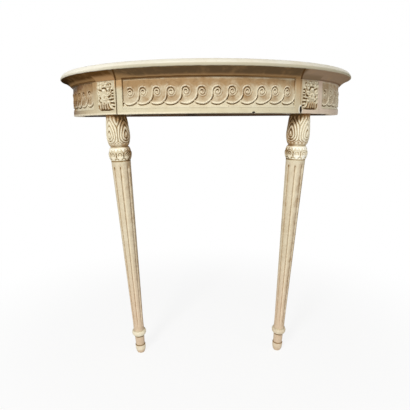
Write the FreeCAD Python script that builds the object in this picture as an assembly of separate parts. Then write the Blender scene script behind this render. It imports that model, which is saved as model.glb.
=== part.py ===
import FreeCAD
import Part
import math
import os

# Half-round wall table: a semicircular top and apron on two raking turned legs.
# X runs along the wall, the front faces -Y, the wall plane is at +Y and Z = 0 is the floor.

# Overall plan and heights
top_radius = 450.0
top_overhang = 32.0
table_height = 815.0
apron_height = 107.0
top_thickness = 13.0

# Shared clearances
overrun = 6.0
glue_gap = 0.3
fit_gap = 0.2

# Top board edge
edge_round = 17.0

# Edge moulding between the top board and the apron
moulding_height = 24.5
fillet_height = 3.0
lip_bevel = 1.6
cove_sag = 2.5
moulding_foot = 1.0

# Curved rails and leg blocks
rail_thickness = 24.0
rail_soft_edge = 1.5
front_rail_half_angle = 33.0
block_angle = 10.0
block_depth = 64.0
block_proud = 1.5

# Sunk panels in the rails
panel_border = 12.8
panel_top_border = 24.8
panel_depth = 5.0
panel_end_angle = 2.5

# Housing for the leaf panel in each leg block
leaf_border = 9.0
leaf_top_border = 25.2
leaf_depth = 6.0
leaf_end_angle = 0.5

# Running scroll carved on the strips
strip_base = 2.0
scroll_relief = 2.2
scroll_band = 2.8
scroll_boss_radius = 2.0
scroll_join_angle = 27.3
scroll_start_angle = 140.0

# Shares of the panel height that the scroll follows, and of its ring that the spiral follows
scroll_pitch_share = 0.533
scroll_ring_share = 0.1657
scroll_rise_share = 0.4467
scroll_disc_share = 0.3141
scroll_lift_share = 0.0375
scroll_spiral_shares = (1.0, 0.89, 0.57, 0.4)

# Leaf ornament carved on the block panels
leaf_base = 5.2
leaf_relief = 3.2
rosette_radius = 6.5
rosette_rise = 5.0
fan_length = 39.0
fan_width = 12.0
fan_angles = (-44.0, -22.0, 0.0, 22.0, 44.0)
plume_length = 33.0
plume_width = 14.0
plume_angles = (-38.0, 0.0, 38.0)
side_leaf_length = 30.0
side_leaf_width = 13.0
side_leaf_angles = (82.0, 278.0)

# Straight rails behind
back_rail_thickness = 22.0
cross_rail_thickness = 22.0
cross_rail_height = 60.0
tenon_length = 10.0
tenon_thickness = 10.0
tenon_height = 40.0

# Dowels in the rail joints
dowel_radius = 4.0
dowel_length = 36.0
dowel_end_gap = 1.0
dowel_height_shares = (0.3, 0.7)

# Glue blocks and the screws that hold the top
glue_block_height = 32.0
corner_block_leg = 48.0
glue_block_depth = 30.0
glue_block_angle = 16.0
glue_block_spread = 5.0
corner_screw_inset = 15.0
screw_radius = 2.0
screw_head_radius = 4.0
screw_head_height = 3.0
screw_tip_cover = 4.0

# Wall fixing holes in the back rail
wall_hole_radius = 2.75
wall_hole_sink_radius = 5.5
wall_hole_spacing = 400.0
wall_hole_drop = 40.0

# Turned leg: place, rake and top joint
leg_setback = 30.3
leg_rake = 55.0
spigot_radius = 13.0
spigot_length = 45.0

# Turned leg: lengths from the apron down and diameters
neck_diameter = 53.0
bulb_diameter = 62.0
waist_diameter = 45.0
bulb_length = 81.0
knop_diameter = 60.0
knop_length = 36.0
knop_step = 0.8
shaft_top_diameter = 51.0
shaft_foot_diameter = 30.0
flare_diameter = 31.0
flare_length = 24.0
collar_rim_diameter = 37.0
collar_diameter = 40.5
collar_height = 17.5
ankle_top_diameter = 27.5
ankle_foot_diameter = 25.6
ankle_length = 30.0
foot_diameter = 29.2
foot_end_diameter = 19.0
foot_length = 27.7
foot_trim = 1.5

# Shares of the bulb and knop lengths, with the swell from the waist to the full diameter
bulb_swell_shares = ((0.27, 0.76), (0.6, 1.0), (0.77, 0.93), (0.92, 0.55))
knop_swell_shares = ((0.16, 0.5), (0.5, 1.0), (0.8, 0.8))
collar_crown_share = 0.3
foot_crown_share = 0.3
foot_bulge_share = 0.75

# Flutes on the shaft
flute_count = 8
flute_top_gap = 18.5
flute_foot_gap = 9.0
flute_top_radius = 3.6
flute_foot_radius = 2.2
flute_depth_share = 0.62

# Sizes that follow from the ones above
right_angle = 90.0
full_turn = 360.0
wall = top_radius / 2
apron_radius = top_radius - top_overhang
apron_top = table_height - top_thickness
floor_to_apron = apron_top - apron_height
rail_inner = apron_radius - rail_thickness
block_end_angle = front_rail_half_angle + block_angle
block_inner = apron_radius - block_depth
moulding_base = apron_top - moulding_height
moulding_joint = apron_radius * math.sin(math.radians(front_rail_half_angle))
panel_base = floor_to_apron + panel_border
panel_top = apron_top - panel_top_border
panel_height = panel_top - panel_base
scroll_pitch = scroll_pitch_share * panel_height
scroll_ring_radius = scroll_ring_share * panel_height
scroll_rise_radius = scroll_rise_share * panel_height
scroll_disc_radius = scroll_disc_share * panel_height
leaf_base_height = floor_to_apron + leaf_border
leaf_top_height = apron_top - leaf_top_border
front_panel_half_angle = front_rail_half_angle - panel_end_angle
front_scroll_count = round(2 * math.radians(front_panel_half_angle) * apron_radius / scroll_pitch)
scroll_cell_angle = 2 * front_panel_half_angle / front_scroll_count
side_panel_start = block_end_angle + panel_end_angle
side_scroll_count = int((right_angle - panel_end_angle - side_panel_start) / scroll_cell_angle)
side_panel_end = side_panel_start + side_scroll_count * scroll_cell_angle
leg_angle = front_rail_half_angle + block_angle / 2
leg_radius = apron_radius - leg_setback
leg_length = math.hypot(floor_to_apron, leg_rake)
knop_foot_drop = bulb_length + knop_length
foot_end_drop = leg_length + foot_trim
ankle_foot_drop = foot_end_drop - foot_length
collar_foot_drop = ankle_foot_drop - ankle_length
collar_drop = collar_foot_drop - collar_height
shaft_foot_drop = collar_drop - flare_length
flute_top_drop = knop_foot_drop + flute_top_gap
flute_foot_drop = collar_drop - flute_foot_gap
back_rail_front = wall - back_rail_thickness
screw_foot = apron_top - glue_block_height + screw_head_height
screw_tip = table_height - screw_tip_cover

up = FreeCAD.Vector(0, 0, 1)
plan_centre = FreeCAD.Vector(0, wall, 0)


# Points and edges

def polar(radius, angle, z):
    turn = math.radians(angle)
    return FreeCAD.Vector(radius * math.sin(turn), wall - radius * math.cos(turn), z)


def outward(angle):
    turn = math.radians(angle)
    return FreeCAD.Vector(math.sin(turn), -math.cos(turn), 0)


def along(angle):
    turn = math.radians(angle)
    return FreeCAD.Vector(math.cos(turn), math.sin(turn), 0)


def line(start, end):
    return Part.LineSegment(start, end).toShape()


def arc(start, middle, end):
    return Part.Arc(start, middle, end).toShape()


def section_point(radius, z):
    return polar(radius, 0, z)


def section_arc(radius, z, bend, start, end):
    points = []
    for angle in (start, (start + end) / 2, end):
        turn = math.radians(angle)
        points.append(section_point(radius + bend * math.cos(turn), z + bend * math.sin(turn)))
    return arc(*points)


def flat_arc(centre, radius, start, end):
    points = []
    for angle in (start, (start + end) / 2, end):
        turn = math.radians(angle)
        across = centre[0] + radius * math.cos(turn)
        points.append(FreeCAD.Vector(across, centre[1] + radius * math.sin(turn), 0))
    return arc(*points)


def section_box(inner, outer, base, top):
    corners = [section_point(inner, base), section_point(outer, base)]
    corners += [section_point(outer, top), section_point(inner, top), section_point(inner, base)]
    return Part.Face(Part.makePolygon(corners))


# Solids turned round the plan centre

def swept(face, start, end):
    turned = face.copy()
    turned.rotate(plan_centre, up, start)
    return turned.revolve(plan_centre, up, end - start)


def sector(inner, outer, base, top, start, end):
    return swept(section_box(inner, outer, base, top), start, end)


def inside_of(radius):
    return Part.makeCylinder(radius, table_height, plan_centre, up)


def mirrored(shape):
    return shape.mirror(FreeCAD.Vector(0, 0, 0), FreeCAD.Vector(1, 0, 0))


def on_face(solid, radius, angle, z):
    placed = solid.copy()
    spin = FreeCAD.Rotation(along(angle), up, outward(angle), "ZXY")
    seat = FreeCAD.Placement(polar(radius, angle, z), spin)
    placed.Placement = seat.multiply(solid.Placement)
    return placed


# Top board

def screw_places():
    corner = rail_inner - corner_screw_inset
    places = []
    for side in (-1, 1):
        places.append(polar(rail_inner - glue_block_depth / 2, side * glue_block_angle, 0))
        places.append(FreeCAD.Vector(side * corner, back_rail_front - corner_screw_inset, 0))
    return places


def screw_bores():
    bores = []
    for place in screw_places():
        base = FreeCAD.Vector(place.x, place.y, apron_top - glue_block_height - overrun)
        bores.append(Part.makeCylinder(screw_radius + fit_gap, screw_tip + fit_gap - base.z, base, up))
        bores.append(Part.makeCylinder(screw_head_radius + fit_gap, screw_foot - base.z, base, up))
    return bores


def top_board():
    edge = top_radius - edge_round
    start = math.degrees(math.asin((edge_round - top_thickness) / edge_round))
    under = edge + edge_round * math.cos(math.radians(start))
    edges = [line(section_point(0, table_height), section_point(0, apron_top))]
    edges.append(line(section_point(0, apron_top), section_point(under, apron_top)))
    edges.append(section_arc(edge, table_height - edge_round, edge_round, start, right_angle))
    edges.append(line(section_point(edge, table_height), section_point(0, table_height)))
    board = swept(Part.Face(Part.Wire(edges)), -right_angle, right_angle)
    return board.cut(screw_bores())


# Edge moulding

def moulding_section():
    inner = apron_radius + glue_gap
    foot = apron_radius + moulding_foot
    lip_base = apron_top - fillet_height
    run = top_radius - lip_bevel - foot
    rise = lip_base - lip_bevel - moulding_base
    share = cove_sag / math.hypot(run, rise)
    cove_top = section_point(foot + run, moulding_base + rise)
    cove_middle = section_point(foot + run / 2 - share * rise, moulding_base + rise / 2 + share * run)
    edges = [line(section_point(inner, apron_top), section_point(top_radius, apron_top))]
    edges.append(line(section_point(top_radius, apron_top), section_point(top_radius, lip_base)))
    edges.append(line(section_point(top_radius, lip_base), cove_top))
    edges.append(arc(cove_top, cove_middle, section_point(foot, moulding_base)))
    edges.append(line(section_point(foot, moulding_base), section_point(inner, moulding_base)))
    edges.append(line(section_point(inner, moulding_base), section_point(inner, apron_top)))
    return Part.Face(Part.Wire(edges))


def joint_slab():
    corner = FreeCAD.Vector(-moulding_joint, wall - top_radius - overrun, 0)
    return Part.makeBox(2 * moulding_joint, top_radius, table_height, corner)


def front_edge_moulding():
    return swept(moulding_section(), -right_angle, right_angle).common(joint_slab())


def side_edge_moulding(start, end):
    return swept(moulding_section(), start, end).cut(joint_slab())


# Rails and blocks of the apron

def panel_cut(start, end):
    return sector(apron_radius - panel_depth, apron_radius + overrun, panel_base, panel_top, start, end)


def dowel(place, direction, radius, length):
    return Part.makeCylinder(radius, length, place - direction * (length / 2), direction)


def joint_dowels(angle, radius, length):
    middle = rail_inner + (rail_thickness - panel_depth) / 2
    pegs = []
    for share in dowel_height_shares:
        place = polar(middle, angle, floor_to_apron + share * apron_height)
        pegs.append(dowel(place, along(angle), radius, length))
    return pegs


def back_dowels(side, radius, length):
    middle = back_rail_thickness / 2
    seat = math.sqrt(rail_inner ** 2 - middle ** 2)
    pegs = []
    for share in dowel_height_shares:
        place = FreeCAD.Vector(side * seat, wall - middle, floor_to_apron + share * apron_height)
        pegs.append(dowel(place, FreeCAD.Vector(1, 0, 0), radius, length))
    return pegs


def joint_bores(angle):
    return joint_dowels(angle, dowel_radius + fit_gap, dowel_length + 2 * dowel_end_gap)


def back_bores(side):
    return back_dowels(side, dowel_radius + fit_gap, dowel_length + 2 * dowel_end_gap)


def rail(start, end):
    soft = apron_radius - rail_soft_edge
    edges = [line(section_point(rail_inner, apron_top), section_point(rail_inner, floor_to_apron))]
    edges.append(line(section_point(rail_inner, floor_to_apron), section_point(soft, floor_to_apron)))
    edges.append(section_arc(soft, floor_to_apron + rail_soft_edge, rail_soft_edge, -right_angle, 0))
    low = section_point(apron_radius, floor_to_apron + rail_soft_edge)
    edges.append(line(low, section_point(apron_radius, apron_top)))
    edges.append(line(section_point(apron_radius, apron_top), section_point(rail_inner, apron_top)))
    return swept(Part.Face(Part.Wire(edges)), start, end)


def tenon(start, end, gap):
    width = tenon_thickness + 2 * gap
    base = apron_top - (cross_rail_height + tenon_height) / 2 - gap
    corner = FreeCAD.Vector(-width / 2, start - gap, base)
    return Part.makeBox(width, end - start + 2 * gap, tenon_height + 2 * gap, corner)


def cross_tenons(gap):
    front = wall - rail_inner
    return tenon(front - tenon_length, back_rail_front + tenon_length, gap)


def front_rail():
    half = front_rail_half_angle
    cuts = [panel_cut(-front_panel_half_angle, front_panel_half_angle), cross_tenons(fit_gap)]
    cuts += joint_bores(half) + joint_bores(-half)
    return rail(-half, half).cut(cuts)


def side_rail():
    cuts = [panel_cut(side_panel_start, side_panel_end)]
    cuts += joint_bores(block_end_angle) + back_bores(1)
    return rail(block_end_angle, right_angle).cut(cuts)


def back_rail():
    corner = FreeCAD.Vector(-rail_inner, back_rail_front, floor_to_apron)
    board = Part.makeBox(2 * rail_inner, back_rail_thickness, apron_height, corner)
    cuts = back_bores(-1) + back_bores(1) + [cross_tenons(fit_gap)]
    into_wall = FreeCAD.Vector(0, 1, 0)
    for side in (-1, 1):
        place = FreeCAD.Vector(side * wall_hole_spacing / 2, back_rail_front, apron_top - wall_hole_drop)
        cuts.append(Part.makeCylinder(wall_hole_radius, back_rail_thickness, place, into_wall))
        sink = wall_hole_sink_radius - wall_hole_radius
        cuts.append(Part.makeCone(wall_hole_sink_radius, wall_hole_radius, sink, place, into_wall))
    return board.common(inside_of(rail_inner - glue_gap)).cut(cuts)


def cross_rail():
    front = wall - rail_inner
    corner = FreeCAD.Vector(-cross_rail_thickness / 2, front, apron_top - cross_rail_height)
    beam = Part.makeBox(cross_rail_thickness, back_rail_front - front, cross_rail_height, corner)
    return beam.common(inside_of(rail_inner - glue_gap)).fuse(cross_tenons(0)).removeSplitter()


def leaf_cut():
    start = front_rail_half_angle + leaf_end_angle
    end = block_end_angle - leaf_end_angle
    face = apron_radius + block_proud
    return sector(face - leaf_depth, face + overrun, leaf_base_height, leaf_top_height, start, end)


def block_section():
    face = apron_radius + block_proud
    soft = face - rail_soft_edge
    step = moulding_base - glue_gap
    edges = [line(section_point(block_inner, apron_top), section_point(block_inner, floor_to_apron))]
    edges.append(line(section_point(block_inner, floor_to_apron), section_point(soft, floor_to_apron)))
    edges.append(section_arc(soft, floor_to_apron + rail_soft_edge, rail_soft_edge, -right_angle, 0))
    low = section_point(face, floor_to_apron + rail_soft_edge)
    edges.append(line(low, section_point(face, step)))
    edges.append(line(section_point(face, step), section_point(apron_radius, step)))
    edges.append(line(section_point(apron_radius, step), section_point(apron_radius, apron_top)))
    edges.append(line(section_point(apron_radius, apron_top), section_point(block_inner, apron_top)))
    return Part.Face(Part.Wire(edges))


def leg_block():
    block = swept(block_section(), front_rail_half_angle, block_end_angle)
    cuts = [leaf_cut(), spigot(fit_gap)]
    cuts += joint_bores(front_rail_half_angle) + joint_bores(block_end_angle)
    return block.cut(cuts)


# Glue blocks and screws

def glue_block():
    start = glue_block_angle - glue_block_spread / 2
    end = glue_block_angle + glue_block_spread / 2
    base = apron_top - glue_block_height
    block = sector(rail_inner - glue_block_depth, rail_inner - glue_gap, base, apron_top, start, end)
    return block.cut(screw_bores())


def corner_block():
    base = apron_top - glue_block_height
    corner = FreeCAD.Vector(rail_inner, back_rail_front, base)
    along_back = FreeCAD.Vector(rail_inner - corner_block_leg, back_rail_front, base)
    along_side = FreeCAD.Vector(rail_inner, back_rail_front - corner_block_leg, base)
    face = Part.Face(Part.makePolygon([corner, along_back, along_side, corner]))
    block = face.extrude(up * glue_block_height)
    return block.common(inside_of(rail_inner - glue_gap)).cut(screw_bores())


def top_screws():
    screws = []
    for place in screw_places():
        foot = FreeCAD.Vector(place.x, place.y, screw_foot)
        shank = Part.makeCylinder(screw_radius, screw_tip - screw_foot, foot, up)
        head = Part.makeCylinder(screw_head_radius, screw_head_height, foot - up * screw_head_height, up)
        screws.append(shank.fuse(head).removeSplitter())
    return Part.makeCompound(screws)


# Turned legs

def leg_frame():
    top = polar(leg_radius, leg_angle, floor_to_apron)
    foot = polar(leg_radius - leg_rake, leg_angle, 0)
    axis = top - foot
    axis.normalize()
    side = along(leg_angle)
    spin = FreeCAD.Rotation(side.cross(axis), side, axis, "ZXY")
    return FreeCAD.Placement(top, spin)


def in_leg_frame(solid):
    placed = solid.copy()
    placed.Placement = leg_frame().multiply(solid.Placement)
    return placed


def spigot(gap):
    start = FreeCAD.Vector(0, 0, -overrun)
    return in_leg_frame(Part.makeCylinder(spigot_radius + gap, spigot_length + overrun + gap, start, up))


def turning_point(diameter, drop):
    return FreeCAD.Vector(diameter / 2, 0, -drop)


def swelling(first, start, length, full, shares, last):
    points = [first]
    for place, swell in shares:
        diameter = waist_diameter + swell * (full - waist_diameter)
        points.append(turning_point(diameter, start + place * length))
    points.append(last)
    curve = Part.BSplineCurve()
    curve.interpolate(points)
    return curve.toShape()


def turned_body():
    above = FreeCAD.Vector(0, 0, overrun)
    neck_above = turning_point(neck_diameter, -overrun)
    neck = turning_point(neck_diameter, 0)
    waist = turning_point(waist_diameter, bulb_length)
    knop_foot = turning_point(shaft_top_diameter + knop_step, knop_foot_drop)
    shaft_top = turning_point(shaft_top_diameter, knop_foot_drop)
    shaft_foot = turning_point(shaft_foot_diameter, shaft_foot_drop)
    flare = turning_point(flare_diameter, collar_drop)
    collar_rim = turning_point(collar_rim_diameter, collar_drop)
    collar = turning_point(collar_diameter, collar_drop + collar_crown_share * collar_height)
    ankle_top = turning_point(ankle_top_diameter, collar_foot_drop)
    ankle = turning_point(ankle_foot_diameter, ankle_foot_drop)
    foot_top = turning_point(foot_diameter, ankle_foot_drop)
    crown_drop = ankle_foot_drop + foot_crown_share * foot_length
    foot_crown = turning_point(foot_diameter, crown_drop)
    bulge = foot_end_diameter + foot_bulge_share * (foot_diameter - foot_end_diameter)
    foot_mid = turning_point(bulge, (crown_drop + foot_end_drop) / 2)
    foot_end = turning_point(foot_end_diameter, foot_end_drop)
    foot_middle = FreeCAD.Vector(0, 0, -foot_end_drop)
    edges = [line(above, neck_above), line(neck_above, neck)]
    edges.append(swelling(neck, 0, bulb_length, bulb_diameter, bulb_swell_shares, waist))
    edges.append(swelling(waist, bulb_length, knop_length, knop_diameter, knop_swell_shares, knop_foot))
    edges += [line(knop_foot, shaft_top), line(shaft_top, shaft_foot), line(shaft_foot, flare)]
    edges += [line(flare, collar_rim), arc(collar_rim, collar, ankle_top)]
    edges += [line(ankle_top, ankle), line(ankle, foot_top)]
    edges += [line(foot_top, foot_crown), arc(foot_crown, foot_mid, foot_end)]
    edges += [line(foot_end, foot_middle), line(foot_middle, above)]
    return Part.Face(Part.Wire(edges)).revolve(FreeCAD.Vector(0, 0, 0), up, full_turn)


def shaft_radius(drop):
    share = (drop - knop_foot_drop) / (shaft_foot_drop - knop_foot_drop)
    return (shaft_top_diameter + share * (shaft_foot_diameter - shaft_top_diameter)) / 2


def flute_rod():
    top_off = shaft_radius(flute_top_drop) + flute_top_radius * (1 - flute_depth_share)
    foot_off = shaft_radius(flute_foot_drop) + flute_foot_radius * (1 - flute_depth_share)
    top = FreeCAD.Vector(top_off, 0, -flute_top_drop)
    run = FreeCAD.Vector(foot_off, 0, -flute_foot_drop) - top
    slope = math.degrees(math.asin((flute_top_radius - flute_foot_radius) / run.Length))
    start = flat_arc((0, 0), flute_top_radius, 2 * right_angle, right_angle - slope)
    end = flat_arc((run.Length, 0), flute_foot_radius, right_angle - slope, 0)
    side = line(start.Vertexes[-1].Point, end.Vertexes[0].Point)
    spine = line(end.Vertexes[-1].Point, start.Vertexes[0].Point)
    outline = Part.Face(Part.Wire([start, side, end, spine]))
    rod = outline.revolve(FreeCAD.Vector(0, 0, 0), FreeCAD.Vector(1, 0, 0), full_turn)
    rod.Placement = FreeCAD.Placement(top, FreeCAD.Rotation(FreeCAD.Vector(1, 0, 0), run))
    return rod


def flute_cutters():
    rod = flute_rod()
    cutters = []
    for number in range(flute_count):
        turned = rod.copy()
        turned.rotate(FreeCAD.Vector(0, 0, 0), up, number * full_turn / flute_count)
        cutters.append(turned)
    return cutters


def leg():
    reach = leg_radius + neck_diameter
    corner = FreeCAD.Vector(-reach, wall - reach, 0)
    storey = Part.makeBox(2 * reach, 2 * reach, floor_to_apron, corner)
    fluted = in_leg_frame(turned_body().cut(flute_cutters()))
    return fluted.common(storey).fuse(spigot(0)).removeSplitter()


# Running scroll strips

def ribbon(segments, width, height):
    left = []
    right = []
    for centre, radius, start, end in segments:
        bend = math.copysign(width / 2, end - start)
        left.append(flat_arc(centre, radius - bend, start, end))
        right.append(flat_arc(centre, radius + bend, start, end))
    first = line(left[0].Vertexes[0].Point, right[0].Vertexes[0].Point)
    last = line(left[-1].Vertexes[-1].Point, right[-1].Vertexes[-1].Point)
    wire = Part.Wire(left + [last] + right[::-1] + [first])
    return Part.Face(wire).extrude(FreeCAD.Vector(0, 0, height))


def wave_segments():
    turn = math.radians(-scroll_join_angle)
    rise_centre = (-scroll_ring_radius - scroll_rise_radius, 0)
    reach = scroll_rise_radius - scroll_disc_radius
    disc_centre = (rise_centre[0] + reach * math.cos(turn), reach * math.sin(turn))
    disc = (disc_centre, scroll_disc_radius, -scroll_start_angle, -scroll_join_angle)
    return [disc, (rise_centre, scroll_rise_radius, -scroll_join_angle, 0)]


def spiral_segments():
    segments = []
    side = -1
    for near, far in zip(scroll_spiral_shares, scroll_spiral_shares[1:]):
        radius = scroll_ring_radius * (near + far) / 2
        centre = (side * scroll_ring_radius * (near - far) / 2, 0)
        start = 2 * right_angle if side < 0 else 0
        segments.append((centre, radius, start, start - 2 * right_angle))
        side = -side
    return segments


def scroll_unit():
    height = strip_base / 2 + scroll_relief
    wave = ribbon(wave_segments() + spiral_segments(), scroll_band, height)
    crest = ribbon(wave_segments(), scroll_band, height)
    crest.rotate(FreeCAD.Vector(0, 0, 0), up, 2 * right_angle)
    boss = Part.makeCylinder(scroll_boss_radius, height)
    return [wave, crest, boss]


def scroll_strip(start, count):
    floor_radius = apron_radius - panel_depth + glue_gap
    face_radius = floor_radius + strip_base
    end = start + count * scroll_cell_angle
    inset = math.degrees(glue_gap / apron_radius)
    base = panel_base + glue_gap
    top = panel_top - glue_gap
    plate = sector(floor_radius, face_radius, base, top, start + inset, end - inset)
    field = sector(floor_radius, apron_radius + overrun, base, top, start + inset, end - inset)
    middle = panel_base + panel_height / 2 + scroll_lift_share * panel_height
    unit = scroll_unit()
    carving = []
    for number in range(-1, count + 1):
        angle = start + (2 * number + 1) * scroll_cell_angle / 2
        for piece in unit:
            carving.append(on_face(piece, face_radius - strip_base / 2, angle, middle))
    raised = carving[0].multiFuse(carving[1:]).common(field)
    return plate.fuse(raised).removeSplitter()


# Leaf panels

def petal(length, width, angle, height):
    base = FreeCAD.Vector(0, 0, 0)
    tip = FreeCAD.Vector(0, length, 0)
    left = arc(base, FreeCAD.Vector(-width / 2, length / 2, 0), tip)
    right = arc(tip, FreeCAD.Vector(width / 2, length / 2, 0), base)
    blade = Part.Face(Part.Wire([left, right])).extrude(FreeCAD.Vector(0, 0, height))
    blade.rotate(base, up, angle)
    return blade


def leaf_panel():
    face = apron_radius + block_proud
    floor_radius = face - leaf_depth + glue_gap
    inset = leaf_end_angle + math.degrees(glue_gap / apron_radius)
    start = front_rail_half_angle + inset
    end = block_end_angle - inset
    base = leaf_base_height + glue_gap
    top = leaf_top_height - glue_gap
    plate = sector(floor_radius, floor_radius + leaf_base, base, top, start, end)
    field = sector(floor_radius, face + overrun, base, top, start, end)
    height = leaf_base / 2 + leaf_relief
    ornament = [Part.makeCylinder(rosette_radius, height)]
    for angle in fan_angles:
        ornament.append(petal(fan_length, fan_width, 2 * right_angle + angle, height))
    for angle in plume_angles:
        ornament.append(petal(plume_length, plume_width, angle, height))
    for angle in side_leaf_angles:
        ornament.append(petal(side_leaf_length, side_leaf_width, angle, height))
    middle = (base + top) / 2 + rosette_rise
    placed = [on_face(piece, floor_radius + leaf_base / 2, leg_angle, middle) for piece in ornament]
    raised = placed[0].multiFuse(placed[1:]).common(field)
    return plate.fuse(raised).removeSplitter()


# All pieces by name

def pieces():
    nodes = {"top_board": top_board(), "front_edge_moulding": front_edge_moulding()}
    nodes["front_rail"] = front_rail()
    nodes["back_rail"] = back_rail()
    nodes["cross_rail"] = cross_rail()
    nodes["left_edge_moulding"] = side_edge_moulding(-right_angle, 0)
    nodes["right_edge_moulding"] = side_edge_moulding(0, right_angle)
    paired = {"side_rail": side_rail(), "leg_block": leg_block(), "leg": leg()}
    paired.update({"corner_block": corner_block(), "glue_block": glue_block(), "leaf_panel": leaf_panel()})
    for name, shape in paired.items():
        nodes["right_" + name] = shape
        nodes["left_" + name] = mirrored(shape)
    nodes["front_scroll_strip"] = scroll_strip(-front_panel_half_angle, front_scroll_count)
    nodes["left_scroll_strip"] = scroll_strip(-side_panel_end, side_scroll_count)
    nodes["right_scroll_strip"] = scroll_strip(side_panel_start, side_scroll_count)
    pegs = joint_dowels(front_rail_half_angle, dowel_radius, dowel_length)
    pegs += joint_dowels(-front_rail_half_angle, dowel_radius, dowel_length)
    nodes["front_joint_dowels"] = Part.makeCompound(pegs)
    pegs = joint_dowels(block_end_angle, dowel_radius, dowel_length)
    pegs += joint_dowels(-block_end_angle, dowel_radius, dowel_length)
    nodes["side_joint_dowels"] = Part.makeCompound(pegs)
    pegs = back_dowels(1, dowel_radius, dowel_length) + back_dowels(-1, dowel_radius, dowel_length)
    nodes["back_joint_dowels"] = Part.makeCompound(pegs)
    nodes["top_screws"] = top_screws()
    return nodes


os.makedirs("parts", exist_ok=True)
for node, solid in pieces().items():
    print(node, len(solid.Solids), round(solid.Volume), solid.isValid())
    solid.exportStep("parts/" + node + ".step")
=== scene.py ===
import math

import bmesh
import bpy
import numpy as np
from mathutils import Matrix, Vector


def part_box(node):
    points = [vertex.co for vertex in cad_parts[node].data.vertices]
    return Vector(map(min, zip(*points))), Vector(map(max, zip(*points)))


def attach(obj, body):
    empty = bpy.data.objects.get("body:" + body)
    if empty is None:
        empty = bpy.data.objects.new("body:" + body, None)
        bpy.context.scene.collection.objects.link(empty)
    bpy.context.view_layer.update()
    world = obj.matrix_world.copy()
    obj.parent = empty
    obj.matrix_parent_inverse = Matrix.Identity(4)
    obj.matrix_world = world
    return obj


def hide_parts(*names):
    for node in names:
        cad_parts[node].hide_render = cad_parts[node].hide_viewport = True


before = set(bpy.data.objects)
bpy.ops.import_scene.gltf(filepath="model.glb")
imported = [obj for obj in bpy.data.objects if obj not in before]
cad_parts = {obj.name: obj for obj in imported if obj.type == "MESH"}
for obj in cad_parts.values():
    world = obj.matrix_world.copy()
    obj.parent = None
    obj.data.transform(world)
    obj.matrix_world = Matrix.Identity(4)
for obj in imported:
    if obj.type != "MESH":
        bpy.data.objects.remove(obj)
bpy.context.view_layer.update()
print("frame loaded with", len(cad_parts), "nodes")

mm = 0.001
hair = 0.001 * mm  # closer than this counts as touching
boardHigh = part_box("top_board")[1]
railLow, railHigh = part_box("front_rail")

table = {  # what the pieces share, read off the frame where it can be
    "wallY": boardHigh.y,
    "apronRadius": boardHigh.y - railLow.y,
    "apronBase": railLow.z,
    "apronTop": railHigh.z,
    "legAngle": math.radians(38),
}


def onPlan(radius, angle, z):  # a place on the half-round plan, angle 0 at the front
    return Vector((radius * math.sin(angle), table["wallY"] - radius * math.cos(angle), z))


# small helpers for node trees

def colour(red, green, blue):  # a colour as a screen shows it, 0 to 255
    channels = [value / 255 for value in (red, green, blue)]
    return [c / 12.92 if c <= 0.04045 else ((c + 0.055) / 1.055) ** 2.4 for c in channels] + [1]


def addNode(tree, kind, inputs=None, **settings):
    node = tree.nodes.new(kind)
    for key, value in settings.items():
        setattr(node, key, value)
    for key, value in (inputs or {}).items():
        if isinstance(value, bpy.types.NodeSocket):
            tree.links.new(value, node.inputs[key])
        else:
            node.inputs[key].default_value = value
    return node


def mixTint(tree, factor, first, second, blend="MIX"):
    node = addNode(tree, "ShaderNodeMix", {0: factor, 6: first, 7: second}, data_type="RGBA", blend_type=blend)
    return node.outputs[2]


def ramp(tree, value, low, high, fromShare=0.0, toShare=1.0):  # smooth step between two values
    node = addNode(tree, "ShaderNodeMapRange", {"Value": value, "From Min": low, "From Max": high,
                                                "To Min": fromShare, "To Max": toShare},
                   interpolation_type="SMOOTHSTEP")
    return node.outputs[0]


def sums(tree, operation, first, second=0.0):
    return addNode(tree, "ShaderNodeMath", {0: first, 1: second}, operation=operation).outputs[0]


def times(tree, first, second):
    return sums(tree, "MULTIPLY", first, second)


def absolute(tree, value):
    return sums(tree, "ABSOLUTE", value)


def objectPlace(tree):
    return addNode(tree, "ShaderNodeTexCoord").outputs["Object"]


def noise(tree, where, scale, detail=3.0, rough=0.55):
    return addNode(tree, "ShaderNodeTexNoise", {"Vector": where, "Scale": scale, "Detail": detail,
                                                "Roughness": rough}).outputs[0]


def stretched(tree, where, scale):
    return addNode(tree, "ShaderNodeMapping", {"Vector": where, "Scale": scale}).outputs[0]


def newGroup(name, inputs):  # a finish with its own settings
    group = bpy.data.node_groups.new(name, "ShaderNodeTree")
    for label, kind in inputs:
        group.interface.new_socket(label, in_out="INPUT", socket_type="NodeSocket" + kind)
    for label, kind in (("Color", "Color"), ("Roughness", "Float"), ("Height", "Float")):
        group.interface.new_socket(label, in_out="OUTPUT", socket_type="NodeSocket" + kind)
    return group, group.nodes.new("NodeGroupInput").outputs, group.nodes.new("NodeGroupOutput").inputs


# shared finishes

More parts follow.
